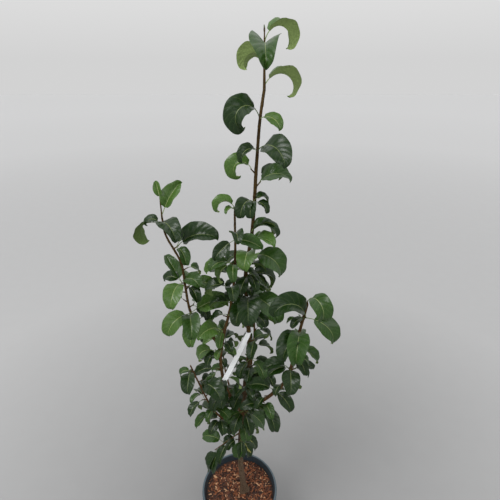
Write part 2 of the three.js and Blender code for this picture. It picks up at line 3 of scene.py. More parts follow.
import bpy
import numpy as np
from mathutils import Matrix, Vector


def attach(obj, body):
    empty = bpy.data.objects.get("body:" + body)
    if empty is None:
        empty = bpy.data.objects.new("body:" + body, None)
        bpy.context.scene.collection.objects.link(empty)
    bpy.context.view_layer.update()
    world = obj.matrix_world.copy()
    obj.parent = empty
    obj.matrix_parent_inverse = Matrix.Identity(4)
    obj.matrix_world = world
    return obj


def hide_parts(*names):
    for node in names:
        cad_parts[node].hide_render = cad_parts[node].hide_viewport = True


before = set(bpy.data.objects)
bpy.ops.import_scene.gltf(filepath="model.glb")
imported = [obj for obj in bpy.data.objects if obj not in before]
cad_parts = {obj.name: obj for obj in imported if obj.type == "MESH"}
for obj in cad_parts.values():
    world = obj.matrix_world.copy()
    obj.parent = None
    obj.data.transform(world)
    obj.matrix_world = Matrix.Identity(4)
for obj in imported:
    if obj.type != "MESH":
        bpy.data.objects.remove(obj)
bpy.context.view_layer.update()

# A young pear tree in a round nursery pot. +Z is up, +X is to the right and -Y is the front.
# Plant sizes are in millimetres, as the solids' own rule has them, and MM turns them to metres.
MM = 0.001
TIP = "tip"

# Wood
GROUND = 224
FLARE = 9
FLARE_HEIGHT = 24
BUTT_RADIUS = 10
FORK_RADIUS = 8.6
LEADER_RADIUS = 7.2
LEADER_TIP_RADIUS = 3.2
FORK_LOW = 630
FORK_HIGH = 715
LEADER_FROM = FORK_HIGH + 100
LIMB_TAPER = 0.8
STEM_TIP_RADIUS = 1.3
SPUR_RADIUS = 2.2
RING_STEP = 4
NODE_STEP = 34
NODE_TURN = 144
COLLAR = 0.55
COLLAR_FROM = 9
COLLAR_LENGTH = 7
TRUNK_SIDES = 28
BOUGH_SIDES = 18
SPAN_STEPS = 40
PLACE_STEPS = 2001
RIDGE_WAVES = 9
RIDGE_PACE = 60
RIDGE_DEPTH = 0.05
KNOB_RISE = 0.9
KNOB_LENGTH = 3.4
KNOB_NARROW = 2.2
BUTT_LOBES = 3
LOBE_DEPTH = 2.2
LOBE_FADE = 20
SCAR_DEPTH = 0.12
SCAR_PACE = 1.9
BUD_LENGTH = 5.5

# A leaf, as shares of its blade's length unless in millimetres or degrees
BLADE_WIDTH = 0.62
STALK_LENGTH = 0.24
FOLD = 24
SIDE_BEND = 14
TWIST = 14
WAVE = 9
WAVE_TURN = 450
WAVE_LAG = 130
CURL_POWER = 1.2
TIP_CURL = 75
TIP_FROM = 0.82
PATH_STEPS = 32
FIRST_LEAF = 5
LAST_LEAF = 0.92
CROWDING = 0.6
SIDE_VEINS = 7
FIRST_VEIN = 0.09
VEIN_STEP = 0.115
VEIN_SLANT = 0.9
RIB_WIDTH = 2.2
RIB_DEPTH = 0.5
RIB_BACK = 1.2
PILLOW = 0.8
FRILL = 0.8
FRILL_TURNS = 4.5
LEAF_THICK = 0.45
STALK_RADIUS = 0.85
COLUMNS = [0.28, 0.56, 0.82, 1.0]
SLENDER_BELOW = 20
SLENDER = 0.45
USUAL_BLADE = 80
STALK_SPREAD = 0.25
WIDTH_SPREAD = 0.12
FOLD_SPREAD = 0.5
POINT_FROM = 0.88
POINT_LENGTH = 0.09
POINT_NARROW = 0.45
VEIN_HALF = 0.006
BETWEEN_VEINS = (0.33, 0.67)
SWELL_TOP = 0.9
RIB_TAPER = 0.75
GROOVE_REACH = 2.5
RIDGE_REACH = 1.6
DARKER_BELOW = -0.6
LIGHTER_ABOVE = 0.62

# Routes of the limbs. The first point lies inside the limb that each one leaves.
LIMBS = {
    "trunk": {"route": [
        (17, 4, 224), (11, 1, 290), (5, 0, 430), (13, 0, 638), (25, 2, 793), (36, 4, 900),
        (32, 3, 1062), (27, 0, 1168), (45, -2, 1310), (54, 0, 1470), (61, 0, 1570), (69, 0, 1628)]},
    "left_bough": {"base": 6, "tip": 2.6, "route": [
        (12, 0, 655), (-20, -18, 738), (-39, -30, 821), (-45, -40, 923), (-33, -45, 1010),
        (-9, -45, 1120), (2, -45, 1236), (4, -45, 1370)]},
    "far_left_bough": {"base": 4.5, "tip": 2.5, "route": [
        (-42, -43, 960), (-66, -40, 1003), (-99, -30, 1030), (-122, -20, 1066), (-134, -5, 1140),
        (-140, 0, 1210), (-175, 9, 1290), (-179, 10, 1334)]},
    "low_left_bough": {"base": 4.2, "tip": 2, "route": [
        (6, 0, 572), (-57, -30, 669), (-86, -45, 747), (-107, -56, 832), (-129, -60, 914)]},
    "right_bough": {"base": 6.2, "tip": 3.6, "route": [
        (13, 0, 648), (74, -30, 736), (114, -50, 801), (143, -68, 870), (158, -78, 960),
        (168, -80, 1050), (182, -80, 1136)]},
    "back_bough": {"base": 4.8, "tip": 2.1, "route": [
        (15, 0, 670), (36, 50, 765), (52, 95, 880), (50, 122, 1000), (38, 128, 1110)]},
    "low_back_bough": {"base": 3.8, "tip": 1.9, "route": [
        (10, 0, 590), (-18, 44, 668), (-44, 82, 756), (-52, 104, 850)]},
}

# Each shoot: name, limb, height where it leaves it (or TIP), heading, rise, length, tint, and its leaves.
# A leaf is its heading, its rise, its blade's length, how far it curls over and how far it rolls, and
# some end with a tint of their own.
# A heading of 0 is to the right, 90 to the back, 180 to the left and 270 to the front.
# A shoot's tint is partly painted shade: low and inner shoots take the dark tint where the crown shades them.
SHOOTS = [
    ("leader_tip", "trunk", TIP, 100, 86, 108, "mid", [
        (6, 66, 96, 215, -10, "light"), (140, 70, 76, 200, 40, "light"), (268, 36, 106, 118, 0, "mid"),
        (22, 78, 90, 215, 0, "light"), (110, 84, 16, 5, 0)]),
    ("leader_high", "trunk", 1564, 262, 40, 13, "mid", [
        (330, 28, 54, 120, 30, "light"), (206, 68, 100, 258, -28)]),
    ("leader_upper", "trunk", 1494, 275, 40, 13, "dark", [
        (214, 42, 56, 165, -20), (306, 38, 96, 114, 30, "dark")]),
    ("leader_middle", "trunk", 1446, 215, 45, 14, "light", [
        (184, 70, 74, 255, -30)]),
    ("leader_lower", "trunk", 1414, 355, 50, 13, "dark", [
        (352, 60, 84, 125, 30), (42, 60, 70, 150, 20)]),
    ("leader_ring", "trunk", 1378, 262, 20, 14, "dark", [
        (335, 20, 42, 130, 10), (234, 42, 64, 165, -20), (262, 35, 54, 165, 0), (12, 66, 44, 190, 25)]),
    ("leader_crook", "trunk", 1294, 262, 40, 13, "mid", [
        (338, 66, 82, 165, 5), (0, 70, 74, 200, 5)]),
    ("leader_bright", "trunk", 1262, 300, 40, 12, "light", [
        (310, 52, 84, 75, 15), (40, 30, 60, 110, 0)]),
    ("leader_bend", "trunk", 1230, 285, 30, 14, "dark", [
        (186, 30, 62, 120, 0), (332, 36, 98, 140, 25), (262, 66, 80, 170, 0, "light")]),
    ("leader_heart", "trunk", 1176, 300, 25, 13, "dark", [
        (345, 10, 52, 90, 0), (8, 25, 84, 150, 12), (249, 5, 62, 100, 0), (292, 30, 58, 120, 0)]),
    ("leader_breast", "trunk", 1104, 292, 25, 15, "dark", [
        (352, 0, 60, 90, 0), (320, 30, 104, 112, 10), (242, 20, 84, 115, 0), (266, 46, 106, 140, 0)]),
    ("leader_back", "trunk", 1070, 95, 30, 14, "mid", [
        (150, 20, 76, 110, 0), (30, 30, 74, 120, 0), (90, 40, 80, 130, 0)]),
    ("leader_waist", "trunk", 946, 340, 30, 13, "dark", [
        (40, 30, 62, 120, 0), (262, 20, 56, 120, 0)]),
    ("leader_hip", "trunk", 884, 290, 30, 13, "mid", [
        (350, 10, 60, 110, 0), (232, 5, 60, 105, 0, "dark"), (316, 10, 66, 105, 0)]),
    ("fork_front", "trunk", 756, 268, 35, 15, "dark", [
        (237, 10, 64, 95, 0), (323, 24, 62, 110, 10), (300, 70, 64, 115, 0), (250, 72, 68, 110, 0)]),
    ("fork_back", "trunk", 778, 60, 30, 15, "mid", [
        (330, 30, 62, 110, 0), (112, 25, 70, 110, 0), (30, 25, 70, 110, 0)]),
    ("collar_front", "trunk", 672, 285, 20, 16, "dark", [
        (238, 10, 66, 95, 0), (334, 5, 78, 95, 0), (205, 15, 66, 95, -15), (290, -10, 68, 85, 0)]),
    ("skirt_left", "trunk", 556, 198, -30, 96, "dark", [
        (150, 45, 70, 95, -15), (235, -10, 68, 75, 0), (168, 48, 74, 105, -20), (232, -40, 80, 45, 0),
        (205, -60, 88, 20, 0)]),
    ("skirt_front", "trunk", 545, 280, 20, 16, "dark", [
        (345, 0, 68, 105, 0), (240, -42, 66, 60, 0), (310, -15, 64, 95, 0), (268, -26, 60, 80, 0),
        (328, -30, 54, 55, 0, "yellow")]),
    ("skirt_back", "trunk", 548, 80, 25, 16, "dark", [
        (150, 0, 74, 100, 0), (22, 0, 72, 100, 0), (118, 15, 76, 105, 0), (58, 15, 74, 105, 0)]),
    ("left_tip", "left_bough", TIP, 120, 84, 9, "light", [
        (228, 55, 34, 130, 0), (184, 74, 58, 205, -15)]),
    ("left_high", "left_bough", 1298, 266, 35, 12, "mid", [
        (202, -20, 58, 40, -45), (345, 8, 62, 50, 45), (285, 80, 60, 160, 0)]),
    ("left_upper", "left_bough", 1232, 235, 35, 12, "mid", [
        (268, 20, 54, 115, 0), (190, -10, 58, 120, 0), (210, 42, 58, 110, -20), (188, 14, 60, 80, -35)]),
    ("left_middle", "left_bough", 1160, 205, 25, 12, "dark", [
        (280, 56, 62, 130, 0), (150, 15, 70, 120, 0), (196, 50, 62, 140, -10)]),
    ("left_lower", "left_bough", 1082, 255, 25, 11, "dark", [
        (182, 10, 52, 110, 0), (344, 5, 50, 100, 0)]),
    ("left_fork", "left_bough", 1030, 225, 25, 12, "light", [
        (255, -25, 46, 60, 0), (225, 50, 78, 88, -35)]),
    ("left_low", "left_bough", 945, 200, 30, 11, "mid", [
        (215, 0, 50, 110, 0), (180, 32, 66, 165, -20)]),
    ("left_base", "left_bough", 874, 200, 30, 11, "dark", [
        (220, -15, 46, 90, 0), (184, 18, 62, 85, -25)]),
    ("left_foot", "left_bough", 772, 190, 20, 11, "dark", [
        (227, 10, 62, 100, 0), (140, 20, 66, 105, 0)]),
    ("far_left_top", "far_left_bough", TIP, 100, 86, 46, "light", [
        (30, 66, 78, 28, 45), (118, 80, 40, 30, -30)]),
    ("far_left_high", "far_left_bough", 1312, 235, 30, 12, "dark", [
        (180, 34, 84, 205, 8), (192, 80, 44, 195, -20), (308, 42, 92, 125, 5)]),
    ("far_left_node", "far_left_bough", 1250, 350, 35, 12, "mid", [
        (312, 20, 58, 130, 0), (30, 66, 60, 50, 0), (356, 50, 102, 82, 45, "dark")]),
    ("far_left_middle", "far_left_bough", 1152, 250, 30, 13, "mid", [
        (330, 66, 66, 140, 20), (165, 52, 54, 130, -25), (140, 50, 78, 20, -10), (254, 28, 86, 120, -5)]),
    ("far_left_light", "far_left_bough", 1132, 40, 35, 12, "light", [
        (90, 40, 72, 120, 0), (2, 34, 66, 110, 35)]),
    ("far_left_low", "far_left_bough", 1066, 265, 30, 14, "light", [
        (222, 18, 84, 112, -20), (275, -30, 76, 55, 0), (18, 34, 98, 58, 45), (284, 30, 84, 110, 0)]),
    ("low_left_top", "low_left_bough", 892, 235, 30, 11, "mid", [
        (190, 45, 44, 180, -10), (270, 28, 66, 118, 0)]),
    ("low_left_high", "low_left_bough", 832, 320, 30, 12, "dark", [
        (60, 35, 56, 120, 0), (318, 60, 86, 145, 10)]),
    ("low_left_middle", "low_left_bough", 764, 200, 20, 11, "dark", [
        (120, 30, 58, 110, 0), (222, 18, 54, 100, 0)]),
    ("low_left_low", "low_left_bough", 700, 200, 10, 11, "dark", [
        (207, -5, 62, 60, 0), (130, 10, 62, 100, 0)]),
    ("right_tip", "right_bough", TIP, 60, 84, 9, "mid", [
        (300, 68, 96, 225, 25)]),
    ("right_high", "right_bough", 1096, 290, 35, 12, "mid", [
        (210, 20, 44, 100, 0), (331, 14, 93, 118, 42), (192, 80, 112, 158, -35, "dark")]),
    ("right_middle", "right_bough", 1052, 268, 30, 13, "dark", [
        (238, 30, 90, 125, 0), (256, 38, 98, 138, 0)]),
    ("right_rear", "right_bough", 985, 30, 30, 12, "mid", [
        (340, 5, 62, 90, 0), (80, 40, 68, 115, 0)]),
    ("right_lower", "right_bough", 922, 235, 30, 13, "dark", [
        (270, 22, 76, 105, 0), (204, 40, 60, 105, -28), (186, 52, 68, 120, -20)]),
    ("right_bend", "right_bough", 802, 250, 50, 13, "dark", [
        (312, 14, 72, 105, 15), (170, 44, 76, 85, -30, "dark"), (120, 66, 50, 75, 0)]),
    ("right_foot", "right_bough", 732, 275, 20, 12, "dark", [
        (312, -2, 82, 92, 10), (200, 48, 64, 100, -30)]),
    ("back_tip", "back_bough", TIP, 90, 80, 14, "light", [
        (20, 35, 66, 115, 0), (150, 35, 68, 120, 0), (80, 55, 70, 130, 0)]),
    ("back_high", "back_bough", 1000, 70, 35, 13, "mid", [
        (350, 10, 70, 100, 0), (120, 25, 78, 110, 0), (55, 35, 80, 115, 0)]),
    ("back_low", "back_bough", 850, 75, 30, 13, "dark", [
        (10, 5, 70, 100, 0), (130, 20, 76, 105, 0), (65, 20, 80, 105, 0)]),
    ("low_back_tip", "low_back_bough", TIP, 110, 76, 13, "mid", [
        (52, 35, 66, 120, 0), (185, 35, 66, 120, 0), (112, 50, 72, 130, 0)]),
]

# Finer spurs between the masses, limb by limb: height, heading, a blade's length, how many leaves and
# their tint. A spur's place in the whole list is its seed.
# The spurs sit deep in the crown, and their mostly dark tint is partly painted shade.
SPUR_ROWS = [
    ("trunk", [
        (1208, 150, 44, 2, "mid"), (1196, 30, 52, 2, "dark"), (1150, 200, 50, 2, "dark"),
        (1140, 70, 54, 3, "dark"), (1128, 330, 50, 2, "dark"), (1084, 122, 56, 1, "dark"),
        (1090, 278, 56, 1, "dark"), (1040, 350, 52, 2, "dark"), (1020, 111, 50, 1, "mid"),
        (962, 90, 52, 1, "dark"), (905, 80, 48, 1, "dark"), (862, 72, 52, 1, "dark"),
        (845, 335, 50, 2, "dark"), (820, 235, 54, 3, "dark"), (800, 20, 52, 3, "dark"),
        (740, 170, 54, 3, "dark"), (728, 350, 52, 2, "dark"), (710, 80, 56, 3, "mid"),
        (648, 130, 54, 3, "dark"), (636, 20, 54, 3, "dark"), (618, 255, 56, 3, "dark"),
        (600, 180, 56, 3, "dark"), (592, 330, 54, 3, "dark"), (575, 100, 52, 3, "mid"),
        (520, 215, 50, 2, "dark")]),
    ("left_bough", [
        (1212, 20, 48, 2, "dark"), (1186, 120, 50, 3, "dark"), (1130, 359, 50, 1, "dark"),
        (1104, 100, 52, 3, "dark"), (1072, 195, 50, 1, "dark"), (1196, 205, 52, 1, "dark"),
        (1004, 120, 50, 2, "mid"), (975, 20, 48, 3, "dark"), (960, 290, 44, 2, "light"),
        (898, 120, 48, 2, "dark"), (842, 335, 48, 1, "mid"), (826, 230, 46, 2, "dark"),
        (795, 300, 50, 2, "dark"), (740, 240, 50, 2, "dark"), (722, 120, 50, 2, "mid")]),
    ("far_left_bough", [
        (1180, 99, 46, 1, "dark"), (1190, 10, 46, 1, "dark"), (1140, 335, 52, 1, "dark"),
        (1125, 215, 44, 1, "mid"), (1096, 161, 48, 1, "mid"), (1082, 20, 50, 2, "dark"),
        (1038, 61, 50, 1, "dark"), (1014, 290, 46, 2, "mid")]),
    ("low_left_bough", [
        (862, 150, 40, 2, "dark"), (846, 20, 44, 2, "dark"), (800, 248, 48, 1, "dark"),
        (780, 40, 48, 3, "dark"), (735, 71, 48, 1, "dark"), (722, 300, 50, 2, "mid"),
        (672, 60, 50, 3, "dark"), (655, 240, 52, 3, "dark"), (622, 300, 52, 2, "dark")]),
    ("right_bough", [
        (1075, 120, 40, 2, "mid"), (1010, 190, 46, 2, "dark"), (950, 340, 48, 2, "dark"),
        (900, 30, 50, 2, "dark"), (912, 345, 50, 1, "dark"), (738, 300, 54, 1, "dark")]),
    ("trunk", [
        (694, 318, 56, 1, "dark")]),
    ("right_bough", [
        (862, 320, 46, 2, "dark"), (850, 229, 46, 1, "mid"), (818, 340, 50, 2, "dark"),
        (772, 200, 48, 2, "dark"), (758, 19, 50, 1, "dark"), (712, 150, 50, 2, "dark"),
        (696, 330, 50, 3, "dark")]),
    ("back_bough", [
        (1060, 30, 52, 2, "mid"), (1050, 170, 52, 2, "dark"), (950, 150, 54, 3, "dark"),
        (940, 330, 52, 2, "mid"), (900, 60, 54, 3, "dark"), (805, 160, 52, 3, "mid"),
        (790, 20, 54, 3, "dark"), (740, 90, 52, 3, "dark")]),
    ("low_back_bough", [
        (812, 30, 50, 2, "mid"), (790, 190, 50, 3, "dark"), (744, 80, 52, 3, "dark"),
        (700, 190, 52, 2, "mid"), (668, 60, 52, 3, "dark"), (640, 150, 52, 2, "dark")]),
]
SPURS = [(limb, *row) for limb, rows in SPUR_ROWS for row in rows]
SPUR_LENGTH = 9
SPUR_RISE = 28
SPUR_FAN = 78
SPUR_CURL = 112
SPUR_TURNS = (0, 18, -18, 36, -36)
LEAF_ROOM = 6

# Plain colours, linear. A leaf has an upper side, a paler lower side and paler veins.
# The dark, mid and light tints are partly the leaves' own tone, paler on young leaves at the shoot tips, and
# partly painted shade: sprays low and deep in the crown take the darker tints where shade falls on them.
TINTS = {
    "dark": {"upper": (0.007, 0.025, 0.002), "lower": (0.09, 0.14, 0.04), "vein": (0.13, 0.165, 0.055)},
    "mid": {"upper": (0.022, 0.06, 0.007), "lower": (0.14, 0.2, 0.06), "vein": (0.18, 0.225, 0.08)},
    "light": {"upper": (0.052, 0.112, 0.017), "lower": (0.22, 0.3, 0.1), "vein": (0.25, 0.3, 0.11)},
    "yellow": {"upper": (0.26, 0.25, 0.07), "lower": (0.3, 0.3, 0.11), "vein": (0.3, 0.26, 0.09)},
}
for tones in TINTS.values():
    tones["side_vein"] = tuple(0.86 * face + 0.14 * vein for face, vein in zip(tones["upper"], tones["vein"]))
SIDES = ("upper", "lower", "vein", "side_vein")
LEAF_SLOTS = [(tint, side) for tint in TINTS for side in SIDES]


def seed_of(name):
    return sum(ord(letter) * (i + 1) for i, letter in enumerate(name)) % 101


def vary(seed, leaf, item):
    """A repeatable number from -1 to 1."""
    wave = math.sin(seed * 12.9898 + leaf * 78.233 + item * 37.719) * 43758.5453
    return 2 * (wave - math.floor(wave)) - 1


def direction(heading, rise):
    a, e = np.radians(heading), np.radians(rise)
    return np.stack(np.broadcast_arrays(np.cos(e) * np.cos(a), np.cos(e) * np.sin(a), np.sin(e)), axis=-1)


def unit(vectors):
    return vectors / np.linalg.norm(vectors, axis=-1, keepdims=True)


class Shell:
    """Points and faces of one piece, gathered in millimetres."""

    def __init__(self):
        self.points, self.faces, self.slots, self.count = [], [], [], 0

    def add(self, points, faces, slots):
        points = np.asarray(points, float).reshape(-1, 3)
        slots = [slots] * len(faces) if isinstance(slots, int) else list(slots)
        self.points.append(points)
        self.faces.extend([corner + self.count for corner in face] for face in faces)
        self.slots.extend(slots)
        self.count += len(points)


def make_piece(name, shell, materials, nodes=(), sharp=48):
    """A piece of the object from a gathered shell. It rides on the tree and stands for its nodes."""
    mesh = bpy.data.meshes.new(name)
    mesh.from_pydata((np.vstack(shell.points) * MM).tolist(), [], shell.faces)
    for material in materials:
        mesh.materials.append(material)
    mesh.polygons.foreach_set("material_index", shell.slots)
    mesh.shade_smooth()
    mesh.set_sharp_from_angle(angle=math.radians(sharp))
    piece = bpy.data.objects.new(name, mesh)
    bpy.context.scene.collection.objects.link(piece)
    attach(piece, "root")
    if nodes:
        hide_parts(*nodes)
    return piece


def ring_faces(rings, sides):
    """Quads between closed rings of points. Both ends are left open."""
    faces = []
    for i in range(rings - 1):
        for k in range(sides):
            a, b = i * sides + k, i * sides + (k + 1) % sides
            faces.append([a, b, b + sides, a + sides])
    return faces


def tube_points(line, radii, sides, relief=None):
    """Rings of points along a line, each square to it and none twisted against the one before."""
    line = np.asarray(line, float)
    along = unit(np.gradient(line, axis=0))
    aside = np.cross((0, 1, 0), along[0])
    rings = []
    angles = np.arange(sides) * 2 * np.pi / sides
    for i, centre in enumerate(line):
        aside = aside - along[i] * np.dot(aside, along[i])
        aside = aside / np.linalg.norm(aside)
        over = np.cross(along[i], aside)
        reach = radii[i] + (relief[i] if relief is not None else 0)
        reach = np.broadcast_to(reach, sides)[:, None]
        rings.append(centre + reach * (np.cos(angles)[:, None] * aside + np.sin(angles)[:, None] * over))
    return np.array(rings)


def add_tube(shell, line, radii, sides, slot, relief=None):
    rings = tube_points(line, radii, sides, relief)
    faces = ring_faces(len(rings), sides)
    faces.append(list(range(sides))[::-1])
    faces.append([(len(rings) - 1) * sides + k for k in range(sides)])
    shell.add(rings, faces, slot)


def smooth_line(route):
    """A smooth line through a route's points, with even speed where they crowd."""
    points = np.array(route, float)
    padded = np.vstack([2 * points[0] - points[1], points, 2 * points[-1] - points[-2]])
    share = np.linspace(0, 1, SPAN_STEPS, endpoint=False)[:, None]
    spans = []
    for p0, p1, p2, p3 in zip(padded, padded[1:], padded[2:], padded[3:]):
        d0, d1, d2 = (np.sum((b - a) ** 2) ** 0.25 for a, b in ((p0, p1), (p1, p2), (p2, p3)))
        t1 = ((p1 - p0) / d0 - (p2 - p0) / (d0 + d1) + (p2 - p1) / d1) * d1
        t2 = ((p2 - p1) / d1 - (p3 - p1) / (d1 + d2) + (p3 - p2) / d2) * d1
        c2 = -3 * p1 + 3 * p2 - 2 * t1 - t2
        c3 = 2 * p1 - 2 * p2 + t1 + t2
        spans.append(p1 + t1 * share + c2 * share ** 2 + c3 * share ** 3)
    return np.vstack([*spans, points[-1:]])


def at_shares(line, shares):
    """Points of a line at shares of its length."""
    steps = np.linalg.norm(np.diff(line, axis=0), axis=1)
    reached = np.concatenate([[0], np.cumsum(steps)])
    return np.stack([np.interp(np.asarray(shares) * reached[-1], reached, line[:, i]) for i in range(3)], -1)


def trunk_radius(height, top):
    flare = FLARE * np.exp(-(height - GROUND) / FLARE_HEIGHT)
    below = np.interp(height, (GROUND, FORK_LOW), (BUTT_RADIUS, FORK_RADIUS))
    above = np.interp(height, (FORK_HIGH, top), (LEADER_RADIUS, LEADER_TIP_RADIUS))
    part = np.clip((height - FORK_LOW) / (FORK_HIGH - FORK_LOW), 0, 1)
    part = part * part * (3 - 2 * part)
    return flare + below * (1 - part) + above * part


def limb_radius(name, share, height):
    limb = LIMBS[name]
    if name == "trunk":
        return trunk_radius(height, limb["route"][-1][2])
    return limb["base"] + (limb["tip"] - limb["base"]) * share ** LIMB_TAPER


def place_on(name, height):
    """The point on a limb's line at a height, and the limb's radius there."""
    line = smooth_line(LIMBS[name]["route"])
    shares = np.linspace(0, 1, PLACE_STEPS)
    points = at_shares(line, shares)
    index = len(points) - 1 if height == TIP else int(np.argmax(points[:, 2] >= height))
    return points[index], float(limb_radius(name, shares[index], points[index][2]))


def knobs(count, sides, heights, seed):
    """Low swellings where leaves once stood, one by one round a limb."""
    relief = np.zeros((count, sides))
    angles = np.arange(sides) * 2 * np.pi / sides
    for i, at in enumerate(np.arange(heights[0] + 12, heights[-1] - 6, NODE_STEP)):
        turn = math.radians(NODE_TURN * i + 40 * seed) + 0.3 * vary(seed, i, 9)
        spread = 1 - np.cos(angles - turn)
        rise = np.exp(-((heights - at - 6 * vary(seed, i, 8)) / KNOB_LENGTH) ** 2)
        relief += KNOB_RISE * rise[:, None] * np.exp(-KNOB_NARROW * spread)[None, :]
    return relief


def bark_relief(heights, sides, seed, depth):
    """Shallow ridges that run up the limb and break off at places of their own."""
    angles = np.arange(sides) * 2 * np.pi / sides
    relief = np.zeros((len(heights), sides))
    for item in range(RIDGE_WAVES):
        turns = 2 + item
        pace = RIDGE_PACE / (1 + item)
        phase = 3.1 * vary(seed, item, 3)
        drift = 0.9 * np.sin(heights / (pace * 1.7) + phase)
        relief += np.sin(turns * angles[None, :] + drift[:, None] * 2 + heights[:, None] / pace) / (2 + item)
    return depth * relief


def add_limb(shell, name, slot):
    line = smooth_line(LIMBS[name]["route"])
    length = float(np.sum(np.linalg.norm(np.diff(line, axis=0), axis=1)))
    shares = np.linspace(0, 1, int(length / RING_STEP) + 1)
    points = at_shares(line, shares)
    radii = limb_radius(name, shares, points[:, 2])
    sides = TRUNK_SIDES if name == "trunk" else BOUGH_SIDES
    seed = seed_of(name)
    run = shares * length
    depth = RIDGE_DEPTH * radii[:, None]
    relief = bark_relief(run, sides, seed, depth) + knobs(len(points), sides, run, seed)
    if name == "trunk":
        foot = np.exp(-run / LOBE_FADE)[:, None]
        angles = np.arange(sides) * 2 * np.pi / sides
        relief += foot * LOBE_DEPTH * np.cos(BUTT_LOBES * angles + 0.6)[None, :]
    else:
        radii = radii * (1 + COLLAR * np.exp(-np.maximum(run - COLLAR_FROM, 0) / COLLAR_LENGTH))
    add_tube(shell, points, radii, sides, slot, relief)


def leaf_line(foot, seed, leaf, row):
    """The line of a leaf's stalk and blade: where each step is, its side and its upper side."""
    heading, rise, blade, curl, roll = row[:5]
    stalk = blade * STALK_LENGTH * (1 + STALK_SPREAD * vary(seed, leaf, 1))
    bend = SIDE_BEND * vary(seed, leaf, 2)
    twist = TWIST * vary(seed, leaf, 3)
    share = np.linspace(0, 1, PATH_STEPS + 1)
    start = stalk / (stalk + blade)
    turn = heading + bend * share
    tip = np.clip((share - TIP_FROM) / (1 - TIP_FROM), 0, 1)
    tilt = rise - curl * share ** CURL_POWER - TIP_CURL * tip ** 2
    along = direction(turn, tilt)
    level = direction(turn + 90, 0 * share)
    upper = direction(turn, tilt + 90)
    spin = np.radians(roll * np.minimum(1, share / start) + twist * share)[:, None]
    step = (stalk + blade) / PATH_STEPS
    point = foot + np.vstack([np.zeros(3), np.cumsum(along[:-1] * step, axis=0)])
    return {
        "share": share, "start": start, "point": point,
        "side": level * np.cos(spin) + upper * np.sin(spin),
        "upper": upper * np.cos(spin) - level * np.sin(spin),
    }


def line_at(line, shares, key):
    found = [np.interp(shares, line["share"], line[key][:, i]) for i in range(3)]
    return np.stack(found, axis=-1)


def blade_outline(share):
    share = np.clip(share, 0, 1)
    point = 1 - POINT_NARROW * np.clip((share - POINT_FROM) / POINT_LENGTH, 0, 1)
    return np.sin(np.pi * share ** 0.8) ** 0.6 * (1 - 0.16 * share * share) * point


def vein_rows():
    """Stations down a blade: two close ones for each side vein and two on the swelling between."""
    rows, swell, vein_after = [0.02], [0.0], []
    for k in range(SIDE_VEINS):
        at = FIRST_VEIN + VEIN_STEP * k
        rows += [at - VEIN_HALF, at + VEIN_HALF, *(at + share * VEIN_STEP for share in BETWEEN_VEINS)]
        swell += [0.0, 0.0, SWELL_TOP, SWELL_TOP]
        vein_after.append(len(rows) - 4)
    rows += [0.95, 0.985]
    swell += [0.2, 0.0]
    return np.array(rows), np.array(swell), vein_after


ROWS, SWELL, VEIN_AFTER = vein_rows()
LATERAL = np.array([-c for c in COLUMNS[::-1]] + [-0.04, 0.04] + COLUMNS)
WIDE = len(LATERAL)
RIB_LEFT = len(COLUMNS)


def blade_faces():
    """Faces of a closed blade: an upper and a lower sheet that share their margin, and two end points."""
    count = len(ROWS)
    lower_start = count * WIDE
    base, tip = lower_start + count * (WIDE - 2), lower_start + count * (WIDE - 2) + 1

    def top(i, j):
        return i * WIDE + j

    def under(i, j):
        return top(i, j) if j in (0, WIDE - 1) else lower_start + i * (WIDE - 2) + j - 1

    faces, kinds = [], []
    for i in range(count - 1):
        for j in range(WIDE - 1):
            kinds.append("vein" if j == RIB_LEFT else "side_vein" if i in VEIN_AFTER else "upper")
            faces.append([top(i, j), top(i + 1, j), top(i + 1, j + 1), top(i, j + 1)])
            kinds.append("lower")
            faces.append([under(i, j), under(i, j + 1), under(i + 1, j + 1), under(i + 1, j)])
    for j in range(WIDE - 1):
        faces += [[base, top(0, j), top(0, j + 1)], [base, under(0, j + 1), under(0, j)]]
        faces.append([tip, top(count - 1, j + 1), top(count - 1, j)])
        faces.append([tip, under(count - 1, j), under(count - 1, j + 1)])
        kinds += ["upper", "lower", "upper", "lower"]
    return faces, kinds


BLADE_FACES, BLADE_KINDS = blade_faces()


